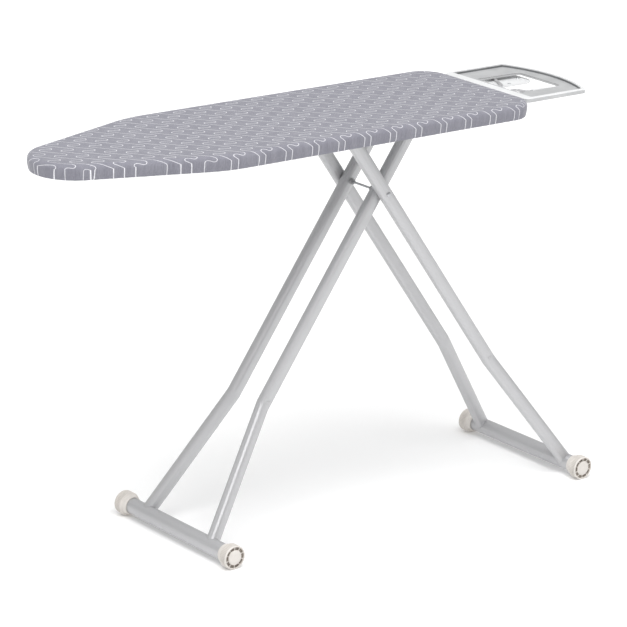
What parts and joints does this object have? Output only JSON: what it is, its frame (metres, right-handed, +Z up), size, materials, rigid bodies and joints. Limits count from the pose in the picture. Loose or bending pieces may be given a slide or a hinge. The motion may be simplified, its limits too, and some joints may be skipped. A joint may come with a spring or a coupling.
{
  "type": "ironing board",
  "caption": "Folding ironing board with a padded, tapered top, a moulded iron rest and a tubular scissor stand with capped feet.",
  "frame": {"origin": "on the floor, under the middle of the object's length and width", "axes": "+X from the board's nose to its square tail and the iron rest, +Y to the board's left side, +Z up"},
  "size_m": [1.355, 0.398, 0.8745],
  "materials": {
    "cover": "matt woven cotton, grey-lavender with a white line print",
    "elastic": "matt white elastic cord",
    "pad": "matt felt",
    "deck": "satin silver paint on sheet steel",
    "silver": "satin silver paint on steel tube",
    "cap": "warm white moulded plastic",
    "rest": "light grey moulded plastic",
    "zinc": "zinc-plated steel",
    "dark": "dark steel",
    "black": "black moulded plastic"
  },
  "bodies": {
    "board": {"cotton_cover": "cover", "hem_cord": "elastic", "felt_pad": "pad", "deck_plate": "deck", "deck_rim": "deck", "nose_rib": "deck", "tail_rib": "deck", "hinge_bracket": "zinc", "hinge_pin": "zinc", "hinge_washer_left": "black", "hinge_washer_right": "black", "guide_rail_left": "zinc", "guide_rail_right": "zinc", "comb_bracket": "zinc", "comb_pin": "dark", "rod_saddle_inner": "black", "rod_saddle_outer": "black", "iron_rest": "rest", "rest_clamp_left": "rest", "rest_clamp_right": "rest", "rest_wire_left": "zinc", "rest_wire_right": "zinc", "wire_anchor": "zinc", "clamp_screw_left_1": "zinc", "clamp_screw_left_2": "zinc", "clamp_screw_right_1": "zinc", "clamp_screw_right_2": "zinc", "anchor_screw_1": "zinc", "anchor_screw_2": "zinc"},
    "inner_frame": {"inner_leg_left": "silver", "inner_leg_right": "silver", "inner_foot_tube": "silver", "inner_foot_cap_left": "cap", "inner_foot_cap_right": "cap", "inner_bend_rivet_left": "silver", "inner_bend_rivet_right": "silver", "pivot_axle": "dark", "pivot_washer_left": "black", "pivot_washer_right": "black", "pivot_bush_left": "black", "pivot_bush_right": "black", "axle_cap_left": "zinc", "axle_cap_right": "zinc"},
    "outer_frame": {"outer_leg_left": "silver", "outer_leg_right": "silver", "outer_foot_tube": "silver", "outer_foot_cap_left": "cap", "outer_foot_cap_right": "cap", "outer_bend_rivet_left": "silver", "outer_bend_rivet_right": "silver", "slide_bar": "zinc", "slide_spacer_left": "black", "slide_spacer_right": "black", "slide_clip_left": "black", "slide_clip_right": "black"},
    "comb": {"lock_comb": "zinc"},
    "release_lever": {"release_rod": "zinc", "release_grip": "black", "release_spring": "dark"}
  },
  "joints": [
    {"name": "fold", "type": "hinge", "parent": "board", "child": "inner_frame", "pos_m": [0.24357, 0, 0.835], "axis": [0, 1, 0], "range_deg": [0, 51]},
    {"name": "scissor", "type": "hinge", "parent": "inner_frame", "child": "outer_frame", "pos_m": [0.1475, 0, 0.6994], "axis": [0, 1, 0], "range_deg": [-102, 0]},
    {"name": "release", "type": "hinge", "parent": "board", "child": "release_lever", "pos_m": [0.09343, 0, 0.8579], "axis": [0, 1, 0], "range_deg": [0, 18], "stiffness_Nm_per_rad": 0.3, "springref_deg": -11.46},
    {"name": "comb_lift", "type": "hinge", "parent": "board", "child": "comb", "pos_m": [-0.24857, 0, 0.851], "axis": [0, -1, 0], "range_deg": [0, 1.8]}
  ],
  "couplings": [
    {"joint": "scissor", "follows": "fold", "ratio": -2},
    {"joint": "comb_lift", "follows": "release", "ratio": 0.1}
  ]
}
